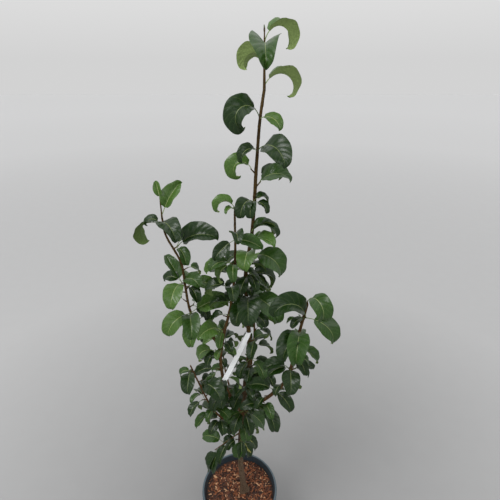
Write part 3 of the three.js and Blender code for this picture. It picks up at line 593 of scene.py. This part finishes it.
def add_blade(shell, line, blade, seed, leaf, slots):
    half = 0.5 * blade * BLADE_WIDTH * (1 + WIDTH_SPREAD * vary(seed, leaf, 4))
    half *= SLENDER if blade < SLENDER_BELOW else 1
    fold = FOLD * (1 + FOLD_SPREAD * vary(seed, leaf, 5))
    phase = 180 * vary(seed, leaf, 6)
    c = np.broadcast_to(LATERAL, (len(ROWS), WIDE)).copy()
    r = np.broadcast_to(ROWS[:, None], c.shape)
    rib = 0.5 * RIB_WIDTH * (1 - RIB_TAPER * ROWS) / half
    c[:, RIB_LEFT], c[:, RIB_LEFT + 1] = -rib, rib
    away = np.abs(c)
    s = r + VEIN_SLANT * away * r * (1 - r)
    reach = half * blade_outline(s)
    lag = np.where(c > 0, WAVE_LAG, 0)
    lift = np.radians(fold + WAVE * np.sin(np.radians(WAVE_TURN * s + phase + lag)))
    at = line["start"] + (1 - line["start"]) * s
    point, side, upper = (line_at(line, at, key) for key in ("point", "side", "upper"))
    side, upper = unit(side), unit(upper)
    bowl = 1.25 * away - 0.25 * away ** 3
    pillow = PILLOW * blade / USUAL_BLADE * SWELL[:, None] * 4 * away * (1 - away)
    frill = FRILL * blade / USUAL_BLADE * away ** 4 * np.sin(2 * np.pi * FRILL_TURNS * s + phase + lag)
    groove = RIB_DEPTH * np.exp(-(away * half / GROOVE_REACH) ** 2)
    height = reach * bowl * np.sin(lift) + pillow + frill - groove
    across = c * reach * np.cos(lift)
    surface = point + side * across[..., None] + upper * height[..., None]
    ridge = RIB_BACK * (1 - 0.7 * r) * np.exp(-(away * half / RIDGE_REACH) ** 2)
    thick = (LEAF_THICK + ridge) * np.sqrt(np.clip(1 - away ** 6, 0, 1))
    under = surface - upper * thick[..., None]
    ends = line_at(line, np.array([line["start"], 1.0]), "point")
    points = np.vstack([surface.reshape(-1, 3), under[:, 1:-1].reshape(-1, 3), ends])
    shell.add(points, BLADE_FACES, [slots[kind] for kind in BLADE_KINDS])


def add_leaf(shell, line, seed, leaf, row, tint):
    slots = {side: LEAF_SLOTS.index((tint, side)) for side in SIDES}
    add_blade(shell, line, row[2], seed, leaf, slots)
    shares = np.linspace(0, line["start"] * 1.04, 6)
    size = STALK_RADIUS * (0.75 + 0.004 * row[2])
    radii = size * np.array([1.5, 1.1, 1.0, 0.95, 0.95, 0.8])
    add_tube(shell, line_at(line, shares, "point"), radii, 6, slots["lower"])


def tint_of(tint, seed, leaf, row):
    """A leaf's own colour, or else its spray's, with some leaves one step darker or lighter."""
    if len(row) > 5:
        return row[5]
    order = ["dark", "mid", "light"]
    draw = vary(seed, leaf, 11)
    shift = -1 if draw < DARKER_BELOW else 1 if draw > LIGHTER_ABOVE else 0
    return order[min(max(order.index(tint) + shift, 0), 2)] if tint in order else tint


def add_stem(shell, foot, tip, radius, seed):
    """A short stem with rings left by old leaves, that ends in a pointed bud."""
    shares = np.linspace(0, 1, 14)
    line = foot + (tip - foot) * shares[:, None]
    length = float(np.linalg.norm(tip - foot))
    radii = radius + (STEM_TIP_RADIUS - radius) * shares
    radii = radii * (1 + SCAR_DEPTH * np.sin(shares * length * SCAR_PACE + seed))
    add_tube(shell, line, radii, 10, 0)
    out = (tip - foot) / length
    add_bud(shell, tip - out, out, BUD_LENGTH)


def add_bud(shell, foot, out, length):
    shares = np.linspace(0, 1, 7)
    radii = 0.28 * length * np.sin(np.pi * (0.22 + 0.76 * shares)) + 0.05
    add_tube(shell, foot + np.outer(shares * length, out), radii, 8, 1)


def spur_shoot(index, spur):
    """A spur as a shoot, with leaves that fan out round its heading by a seeded rule."""
    limb, height, heading, blade, count, tint = spur
    rows = []
    for leaf in range(count):
        turn = heading + SPUR_FAN * (leaf - (count - 1) / 2) + 16 * vary(index, leaf, 21)
        rise = SPUR_RISE + 26 * vary(index, leaf, 22)
        size = blade * (1 + 0.2 * vary(index, leaf, 23))
        curl = SPUR_CURL + 30 * vary(index, leaf, 24)
        rows.append((turn, rise, size, curl, 24 * vary(index, leaf, 25)))
    return f"spur_{index}", limb, height, heading, SPUR_RISE, SPUR_LENGTH, tint, rows


def spread_points(line, row):
    """Points spread over a blade, away from its base."""
    half = 0.5 * row[2] * BLADE_WIDTH
    share = np.linspace(0.25, 1, 7)
    at = line["start"] + (1 - line["start"]) * share
    point, side = line_at(line, at, "point"), line_at(line, at, "side")
    reach = (half * blade_outline(share))[:, None]
    return np.vstack([point + side * reach * c for c in (-0.95, -0.5, 0, 0.5, 0.95)])


class Room:
    """The space that limbs and leaves take up, so that finer leaves keep clear of it."""

    def __init__(self):
        wood = []
        for name in LIMBS:
            wood.append(at_shares(smooth_line(LIMBS[name]["route"]), np.linspace(0, 1, 240)))
        self.taken = [np.vstack(wood)]

    def is_free(self, points):
        taken = np.vstack(self.taken)
        gaps = np.linalg.norm(points[:, None] - taken[None], axis=-1)
        return gaps.min() >= LEAF_ROOM

    def take(self, points):
        self.taken.append(points)


def grow_shoot(shoot, leaves_shell, twigs_shell, room, turns=(0,)):
    """A shoot's stem and leaves. Each leaf takes the first turn that is free, or the only one given."""
    name, limb, height, heading, rise, length, tint, rows = shoot
    seed = seed_of(name)
    place, limb_size = place_on(limb, height)
    at_tip = height == TIP
    out = direction(heading, rise)
    buried = 0 if at_tip else limb_size
    tip = place + out * (length + buried)
    add_stem(twigs_shell, place, tip, limb_size if at_tip else SPUR_RADIUS, seed)
    base = place + out * buried
    for leaf, row in enumerate(rows):
        order = leaf / (len(rows) - 1) if len(rows) > 1 else 1
        first = FIRST_LEAF / length
        share = first + (LAST_LEAF - first) * order ** CROWDING
        foot = base + (tip - base) * share
        for turn in turns:
            line = leaf_line(foot, seed, leaf, (row[0] + turn, *row[1:]))
            points = spread_points(line, row)
            if len(turns) == 1 or room.is_free(points):
                room.take(points)
                add_leaf(leaves_shell, line, seed, leaf, row, tint_of(tint, seed, leaf, row))
                break


# The noise's usual range, and the roughness and specular level of a leaf's sides
NOISE_RANGE = (0.3, 0.7)
MATT_SIDE = ((0.55, 0.7), 0.15)
GLOSSY_SIDE = ((0.25, 0.4), 0.32)


def node_tree(name):
    material = bpy.data.materials.new(name)
    material.use_nodes = True
    nodes, links = material.node_tree.nodes, material.node_tree.links
    return material, nodes, links, nodes["Principled BSDF"]


def noise_bump(nodes, links, shader, scale, strength, distance, detail=4.0):
    """Bump from noise in the object's own space. Returns the noise node."""
    place = nodes.new("ShaderNodeTexCoord")
    noise = nodes.new("ShaderNodeTexNoise")
    noise.inputs["Scale"].default_value = scale
    noise.inputs["Detail"].default_value = detail
    links.new(place.outputs["Object"], noise.inputs["Vector"])
    bump = nodes.new("ShaderNodeBump")
    bump.inputs["Strength"].default_value = strength
    bump.inputs["Distance"].default_value = distance
    links.new(noise.outputs["Fac"], bump.inputs["Height"])
    links.new(bump.outputs["Normal"], shader.inputs["Normal"])
    return noise


def map_range(nodes, links, value, start, end=(0, 1)):
    """A node that turns a value of one range into one of another, each given as a pair."""
    node = nodes.new("ShaderNodeMapRange")
    node.inputs["From Min"].default_value, node.inputs["From Max"].default_value = start
    node.inputs["To Min"].default_value, node.inputs["To Max"].default_value = end
    links.new(value, node.inputs["Value"])
    return node


def vary_roughness(nodes, links, shader, noise, low, high):
    spread = map_range(nodes, links, noise.outputs["Fac"], NOISE_RANGE, (low, high))
    links.new(spread.outputs["Result"], shader.inputs["Roughness"])


def leaf_material(tint, side):
    material, nodes, links, shader = node_tree(f"leaf_{tint}_{side}")
    noise = noise_bump(nodes, links, shader, 420, 0.25, 0.0004)
    base = np.array(TINTS[tint][side])
    stops = [(0.34, base * 0.8), (0.52, base), (0.7, base * 1.25)]
    links.new(ramp_colour(nodes, links, noise.outputs["Fac"], stops), shader.inputs["Base Color"])
    rough, specular = MATT_SIDE if side == "lower" else GLOSSY_SIDE
    vary_roughness(nodes, links, shader, noise, *rough)
    shader.inputs["Specular IOR Level"].default_value = specular
    return material


def ramp_colour(nodes, links, fac, stops):
    ramp = nodes.new("ShaderNodeValToRGB")
    for _ in range(len(stops) - 2):
        ramp.color_ramp.elements.new(0.5)
    for element, (position, colour) in zip(ramp.color_ramp.elements, stops):
        element.position = position
        element.color = (*colour, 1)
    links.new(fac, ramp.inputs["Fac"])
    return ramp.outputs["Color"]


def bark_material(name, low, high, heights, scale):
    """Mottled bark that goes from one pair of colours to another between two heights in metres."""
    material, nodes, links, shader = node_tree(name)
    noise = noise_bump(nodes, links, shader, scale, 0.6, 0.0012, 8)
    place, split = nodes.new("ShaderNodeTexCoord"), nodes.new("ShaderNodeSeparateXYZ")
    links.new(place.outputs["Object"], split.inputs["Vector"])
    climb = map_range(nodes, links, split.outputs["Z"], heights)
    blend = nodes.new("ShaderNodeMix")
    blend.data_type = "RGBA"
    links.new(climb.outputs["Result"], blend.inputs["Factor"])
    for socket, (dark, pale) in (("A", low), ("B", high)):
        colour = ramp_colour(nodes, links, noise.outputs["Fac"], [(0.32, dark), (0.52, pale), (0.75, dark)])
        links.new(colour, [item for item in blend.inputs if item.name == socket and item.type == "RGBA"][0])
    links.new([item for item in blend.outputs if item.type == "RGBA"][0], shader.inputs["Base Color"])
    vary_roughness(nodes, links, shader, noise, 0.6, 0.8)
    shader.inputs["Specular IOR Level"].default_value = 0.1
    return material


def plain_material(name, colour, scale, rough, strength=0.3, distance=0.0005):
    material, nodes, links, shader = node_tree(name)
    shader.inputs["Base Color"].default_value = (*colour, 1)
    noise = noise_bump(nodes, links, shader, scale, strength, distance)
    vary_roughness(nodes, links, shader, noise, *rough)
    return material


# Bark as a dark and a pale colour: at the foot, at the fork and on the young wood above
BARK_BUTT = ((0.06, 0.038, 0.022), (0.145, 0.1, 0.066))
BARK_LOW = ((0.045, 0.021, 0.008), (0.14, 0.074, 0.03))
BARK_HIGH = ((0.018, 0.011, 0.004), (0.075, 0.046, 0.014))

# The masses that each piece of leaves stands for, by the start of their names
GROUPS = {
    "leader": ("leader",),
    "fork": ("fork", "collar", "skirt"),
    "left": ("left",),
    "far_left": ("far_left", "low_left"),
    "right": ("right",),
    "back": ("back", "low_back"),
}


def group_of(name):
    return max(((start, group) for group, starts in GROUPS.items() for start in starts
                if name.startswith(start + "_")), key=lambda pair: len(pair[0]))[1]


def spur_group(limb, height):
    if limb == "trunk":
        return "leader" if height > LEADER_FROM else "fork"
    return group_of(limb)


def make_leaves():
    leaf_materials = [leaf_material(tint, side) for tint, side in LEAF_SLOTS]
    twig_materials = [
        bark_material("twig_bark", BARK_LOW, BARK_HIGH, (0.5, 1.3), 300),
        plain_material("bud_scales", (0.055, 0.028, 0.016), 500, (0.5, 0.7)),
    ]
    twigs, room = Shell(), Room()
    leaves = {group: Shell() for group in GROUPS}
    for shoot in SHOOTS:
        grow_shoot(shoot, leaves[group_of(shoot[0])], twigs, room)
    for index, spur in enumerate(SPURS):
        grow_shoot(spur_shoot(index, spur), leaves[spur_group(*spur[:2])], twigs, room, SPUR_TURNS)
    for group, shell in leaves.items():
        nodes = [shoot[0] for shoot in SHOOTS if group_of(shoot[0]) == group]
        make_piece(f"{group}_leaves", shell, leaf_materials, nodes)
    make_piece("twigs_and_buds", twigs, twig_materials)


def make_limbs():
    trunk = bark_material("trunk_bark", BARK_BUTT, BARK_HIGH, (0.35, 1.0), 130)
    young = bark_material("young_bark", BARK_LOW, BARK_HIGH, (0.7, 1.2), 170)
    for name in LIMBS:
        shell = Shell()
        add_limb(shell, name, 0)
        make_piece(f"{name}_wood", shell, [trunk if name == "trunk" else young], [name], 70)


# Pot, its filling and the blank tag, in millimetres
POT_HEIGHT = 245
RIM_RADIUS = 140
RIM_WIDTH = 8
RIM_DEPTH = 11
BASE_RADIUS = 108
POT_WALL = 3
POT_FLOOR = 4
POT_SEGMENTS = 144
DRAIN_HOLES = 6
DRAIN_RADIUS = 6
DRAIN_CIRCLE = 88
GROUND_FALL = 2
# How far below the rim's top the faces take the lip's painted highlight
LIP_HIGHLIGHT_BAND = 1.6
GROUND_FLAT = 62


def lathe(shell, profile, segments, slot):
    """A closed body turned round +Z from a profile that starts and ends on the axis."""
    angles = np.arange(segments) * 2 * np.pi / segments
    inner = profile[1:-1]
    rings = [[(r * math.cos(a), r * math.sin(a), z) for a in angles] for r, z in inner]
    points = [point for ring in rings for point in ring]
    points += [(0, 0, profile[0][1]), (0, 0, profile[-1][1])]
    foot, top = len(points) - 2, len(points) - 1
    faces = ring_faces(len(inner), segments)
    last = (len(inner) - 1) * segments
    for k in range(segments):
        step = (k + 1) % segments
        faces += [[foot, step, k], [top, last + k, last + step]]
    shell.add(points, faces, slot)


def arc(centre, radius, start, end, count):
    angles = np.radians(np.linspace(start, end, count))
    return [(centre[0] + radius * math.cos(a), centre[1] + radius * math.sin(a)) for a in angles]


def pot_profile():
    outer = RIM_RADIUS - RIM_WIDTH
    slope = (outer - BASE_RADIUS) / (POT_HEIGHT - RIM_DEPTH)
    lip = RIM_WIDTH / 2
    inside = BASE_RADIUS - POT_WALL + slope * POT_FLOOR
    return [
        (0, 0), (BASE_RADIUS - 3, 0), *arc((BASE_RADIUS - 3, 3), 3, -60, 0, 4),
        (outer, POT_HEIGHT - RIM_DEPTH), (RIM_RADIUS - 1.5, POT_HEIGHT - RIM_DEPTH),
        (RIM_RADIUS, POT_HEIGHT - RIM_DEPTH + 1.5),
        *arc((RIM_RADIUS - lip, POT_HEIGHT - lip), lip, 0, 180, 11),
        (outer - POT_WALL, POT_HEIGHT - RIM_DEPTH - 2), (inside, POT_FLOOR), (0, POT_FLOOR),
    ]


def make_pot():
    shell = Shell()
    lathe(shell, pot_profile(), POT_SEGMENTS, 0)
    slate = plain_material("pot_plastic", (0.028, 0.042, 0.052), 90, (0.26, 0.4), 0.15)
    # The lip's top is painted a paler slate than the rest of the pot: a painted highlight where the rolled
    # rim faces the sky.
    lip_highlight = plain_material("pot_lip_painted_highlight", (0.05, 0.078, 0.095), 140, (0.3, 0.45), 0.2)
    pot = make_piece("nursery_pot", shell, [slate, lip_highlight], ["pot"], 35)
    for face in pot.data.polygons:
        if face.center.z > (POT_HEIGHT - LIP_HIGHLIGHT_BAND) * MM:
            face.material_index = 1
    for i in range(DRAIN_HOLES):
        angle = 2 * math.pi * (i + 0.5) / DRAIN_HOLES
        place = (DRAIN_CIRCLE * math.cos(angle) * MM, DRAIN_CIRCLE * math.sin(angle) * MM, POT_FLOOR / 2 * MM)
        bpy.ops.mesh.primitive_cylinder_add(
            vertices=32, radius=DRAIN_RADIUS * MM, depth=3 * POT_FLOOR * MM, location=place)
        cutter = bpy.context.object
        cut = pot.modifiers.new("drain", "BOOLEAN")
        cut.object, cut.operation, cut.solver = cutter, "DIFFERENCE", "EXACT"
        bpy.context.view_layer.objects.active = pot
        bpy.ops.object.modifier_apply(modifier=cut.name)
        bpy.data.objects.remove(cutter)


def pot_wall_inside(height):
    slope = (RIM_RADIUS - RIM_WIDTH - BASE_RADIUS) / (POT_HEIGHT - RIM_DEPTH)
    return BASE_RADIUS - POT_WALL + slope * height - 0.6


def mulch_height(x, y):
    """The height of the mulch at a place: flat in the middle, lower by the wall, and uneven."""
    reach = np.hypot(x, y)
    wall = pot_wall_inside(GROUND)
    fall = np.clip((reach - GROUND_FLAT) / (wall - GROUND_FLAT), 0, 1)
    rough = 0.9 * np.sin(x / 7.3 + 1.7) * np.sin(y / 6.1) + 0.6 * np.sin(x / 3.1 + y / 2.7)
    return GROUND - 3 - GROUND_FALL * fall ** 1.5 + rough


MULCH_TINTS = [
    ("brown", (0.1, 0.03, 0.011), 7), ("orange", (0.2, 0.062, 0.02), 6), ("deep", (0.045, 0.016, 0.008), 4),
    ("pale", (0.42, 0.23, 0.12), 2),
]
CHIPS = 1500
CHIP_LENGTHS = (4, 17)
CHIP_LEAN = 22
CHIP_RISE = (-1.5, 2.5)
CHIP_FREE = 16


def add_chip(shell, centre, length, width, thick, turn, lean, slot, rng):
    """A splinter of bark: a flat body with six uneven sides, bent a little along its length."""
    outline = [(-1, -0.5), (-0.55, -1), (0.5, -0.9), (1, -0.2), (0.8, 0.7), (-0.3, 1), (-0.9, 0.6)]
    outline = np.array(outline) * (1 + 0.25 * rng.uniform(-1, 1, (len(outline), 2)))
    count = len(outline)
    rings = []
    for level, size in ((-1, 0.8), (-0.4, 1), (0.4, 1), (1, 0.82)):
        flat = outline * size * (length / 2, width / 2)
        bend = 0.12 * thick * (flat[:, 0] / (length / 2)) ** 2
        rings.append(np.column_stack([flat, np.full(count, level * thick / 2) + bend]))
    points = np.vstack(rings)
    a, b, c = math.radians(turn), math.radians(lean[0]), math.radians(lean[1])
    spin = np.array([[math.cos(a), -math.sin(a), 0], [math.sin(a), math.cos(a), 0], [0, 0, 1]])
    pitch = np.array([[math.cos(b), 0, math.sin(b)], [0, 1, 0], [-math.sin(b), 0, math.cos(b)]])
    roll = np.array([[1, 0, 0], [0, math.cos(c), -math.sin(c)], [0, math.sin(c), math.cos(c)]])
    points = points @ (spin @ pitch @ roll).T + centre
    faces = ring_faces(4, count)
    faces.append(list(range(count))[::-1])
    faces.append([3 * count + k for k in range(count)])
    shell.add(points, faces, slot)


def make_mulch():
    rng = np.random.default_rng(4)
    shell = Shell()
    wall = pot_wall_inside
    edge = GROUND - GROUND_FALL - 4
    lathe(shell, [(0, POT_FLOOR + 0.3), (wall(POT_FLOOR), POT_FLOOR + 0.3), (wall(edge), edge),
                  (GROUND_FLAT, GROUND - 5), (0, GROUND - 5)], 72, 0)
    weights = np.array([weight for _, _, weight in MULCH_TINTS], float)
    foot = np.array(LIMBS["trunk"]["route"][0][:2])
    for _ in range(CHIPS):
        length = rng.uniform(*CHIP_LENGTHS)
        reach = (wall(GROUND) - length / 2 - 1) * math.sqrt(rng.uniform(0, 1))
        around = rng.uniform(0, 2 * math.pi)
        x, y = reach * math.cos(around), reach * math.sin(around)
        tall = mulch_height(x, y) + rng.uniform(*CHIP_RISE)
        turn, lean = rng.uniform(0, 360), rng.uniform(-CHIP_LEAN, CHIP_LEAN, 2)
        width, thick = length * rng.uniform(0.2, 0.5), rng.uniform(1.0, 2.6)
        tint = 1 + int(rng.choice(len(MULCH_TINTS), p=weights / weights.sum()))
        if np.hypot(x - foot[0], y - foot[1]) < CHIP_FREE:
            continue
        add_chip(shell, (x, y, tall), length, width, thick, turn, lean, tint, rng)
    soil = plain_material("compost", (0.03, 0.013, 0.008), 160, (0.85, 0.95), 0.8, 0.003)
    tints = [plain_material(f"mulch_{name}", colour, 420, (0.7, 0.9), 0.7, 0.0012)
             for name, colour, _ in MULCH_TINTS]
    make_piece("bark_mulch", shell, [soil, *tints], ["ground"], 30)


TAG_WIDTH = 14.5
TAG_TOP = (35, -2.8, 982)
TAG_FOOT = (-36, -54, 850)
TAG_THICK = 0.5
TAG_BOW = 3
TAG_SHOULDER = 0.8
TAG_ROUND = 0.1
LOOP_GAP = 1.6
LOOP_THICK = 0.8
LOOP_RISE = 2


def make_tag():
    """A blank strip that hangs from its own loop round the trunk."""
    top, foot = np.array(TAG_TOP, float), np.array(TAG_FOOT, float)
    shares = np.linspace(0, 1, 26)
    down = unit(foot - top)
    side = unit(np.cross(down, (0, 1, 0)))
    out = np.cross(down, side)
    line = top + np.outer(shares, foot - top) + np.outer(TAG_BOW * np.sin(np.pi * shares), out)
    half = TAG_WIDTH / 2 * np.clip(TAG_SHOULDER + shares / TAG_ROUND, 0, 1)
    rings = []
    for point, reach in zip(line, half):
        rings.append([point + side * a * reach + out * b * TAG_THICK / 2
                      for a, b in ((-1, -1), (1, -1), (1, 1), (-1, 1))])
    shell = Shell()
    faces = ring_faces(len(rings), 4)
    faces += [[3, 2, 1, 0], [len(rings) * 4 - 4 + k for k in range(4)]]
    shell.add(np.array(rings), faces, 0)
    place, size = place_on("trunk", TAG_TOP[2])
    turns = np.linspace(0, 2 * np.pi, 40, endpoint=False)
    inner = size + LOOP_GAP
    outer = inner + LOOP_THICK
    corners = ((inner, -LOOP_RISE), (outer, -LOOP_RISE), (outer, LOOP_RISE), (inner, LOOP_RISE))
    ring = [[place + (a * math.cos(t), a * math.sin(t), b) for a, b in corners] for t in turns]
    points = np.array(ring).reshape(-1, 3)
    count = len(ring)
    loop = [[4 * i + k, 4 * ((i + 1) % count) + k, 4 * ((i + 1) % count) + (k + 1) % 4, 4 * i + (k + 1) % 4]
            for i in range(count) for k in range(4)]
    shell.add(points, loop, 0)
    white = plain_material("tag_plastic", (0.95, 0.96, 0.98), 260, (0.4, 0.55), 0.15)
    make_piece("blank_label", shell, [white], ["blank_tag"], 40)


# Camera, light and floor, in metres
CAMERA_PLACE = (0.039, -0.85476, 1.68624)
CAMERA_PITCH = 27.079
CAMERA_LENS = 27.04
FLOOR_SIZE = 40
FLOOR_FAR = 14
# Floor tones by share of FLOOR_FAR from the tree; the darker tones near the tree are painted shade.
FLOOR_SHADE_TONES = ((0.0, 0.2), (0.05, 0.3), (0.14, 0.46), (0.57, 0.635), (1.0, 0.67))
HORIZON_BAND = 0.6
HORIZON_LIGHT = 0.84
DIM_BETWEEN = (-0.2, 0.75)
DIM_LIGHT = (0.06, 0.9)
SKY_TONES = ((0.0, (0.77, 0.77, 0.77)), (0.12, (0.86, 0.86, 0.86)), (1.0, (1.5, 1.505, 1.515)))
# Each lamp: name, place, what it points at, size and power
LAMPS = (
    ("key", (-1.4, -1.2, 3.4), (0, 0, 1.0), 1.1, 42),
    ("fill", (0.5, -2.3, 2.2), (0, 0, 0.8), 1.4, 16),
)


def make_camera():
    data = bpy.data.cameras.new("camera")
    data.lens, data.sensor_width = CAMERA_LENS, 36
    camera = bpy.data.objects.new("camera", data)
    camera.location = CAMERA_PLACE
    camera.rotation_euler = (math.radians(90 - CAMERA_PITCH), 0, 0)
    bpy.context.scene.collection.objects.link(camera)
    bpy.context.scene.camera = camera


def floor_with_painted_shade():
    """A pale floor with painted shade: its colour is darker near the tree and pales to an even tone far from
    it.
    """
    material, nodes, links, shader = node_tree("floor_with_painted_shade")
    noise = noise_bump(nodes, links, shader, 12, 0.1, 0.002)
    vary_roughness(nodes, links, shader, noise, 0.7, 0.85)
    place, length = nodes.new("ShaderNodeTexCoord"), nodes.new("ShaderNodeVectorMath")
    length.operation = "LENGTH"
    links.new(place.outputs["Object"], length.inputs[0])
    away = map_range(nodes, links, length.outputs["Value"], (0, FLOOR_FAR))
    tones = [(share, (tone, tone, tone)) for share, tone in FLOOR_SHADE_TONES]
    links.new(ramp_colour(nodes, links, away.outputs["Result"], tones), shader.inputs["Base Color"])
    return material


def make_floor():
    mesh = bpy.data.meshes.new("floor")
    half = FLOOR_SIZE / 2
    corners = [(-half, -half, 0), (half, -half, 0), (half, half, 0), (-half, half, 0)]
    mesh.from_pydata(corners, [], [(0, 1, 2, 3)])
    mesh.materials.append(floor_with_painted_shade())
    floor = bpy.data.objects.new("floor", mesh)
    bpy.context.scene.collection.objects.link(floor)


def add_area(name, place, target, size, power):
    data = bpy.data.lights.new(name, "AREA")
    data.energy, data.size = power, size
    light = bpy.data.objects.new(name, data)
    light.location = place
    light.rotation_euler = (Vector(target) - Vector(place)).to_track_quat("-Z", "Y").to_euler()
    bpy.context.scene.collection.objects.link(light)


def make_sky():
    """A pale dome, brighter overhead than at the horizon and dimmer on the viewer's side."""
    world = bpy.data.worlds.new("studio")
    bpy.context.scene.world = world
    world.use_nodes = True
    nodes, links = world.node_tree.nodes, world.node_tree.links
    place = nodes.new("ShaderNodeTexCoord")
    split = nodes.new("ShaderNodeSeparateXYZ")
    links.new(place.outputs["Generated"], split.inputs["Vector"])
    links.new(ramp_colour(nodes, links, split.outputs["Z"], SKY_TONES), nodes["Background"].inputs["Color"])
    reach = nodes.new("ShaderNodeMath")
    links.new(split.outputs["Y"], reach.inputs[0])
    links.new(split.outputs["Z"], reach.inputs[1])
    dim = map_range(nodes, links, reach.outputs["Value"], DIM_BETWEEN, DIM_LIGHT)
    climb = map_range(nodes, links, split.outputs["Z"], (0, HORIZON_BAND), (HORIZON_LIGHT, 1))
    climb.interpolation_type = "SMOOTHSTEP"
    links.new(dim.outputs["Result"], climb.inputs["To Max"])
    links.new(climb.outputs["Result"], nodes["Background"].inputs["Strength"])


def make_studio():
    make_floor()
    make_sky()
    for lamp in LAMPS:
        add_area(*lamp)
    bpy.context.scene.view_settings.view_transform = "Standard"


make_camera()
make_limbs()
make_leaves()
make_pot()
make_mulch()
make_tag()
make_studio()
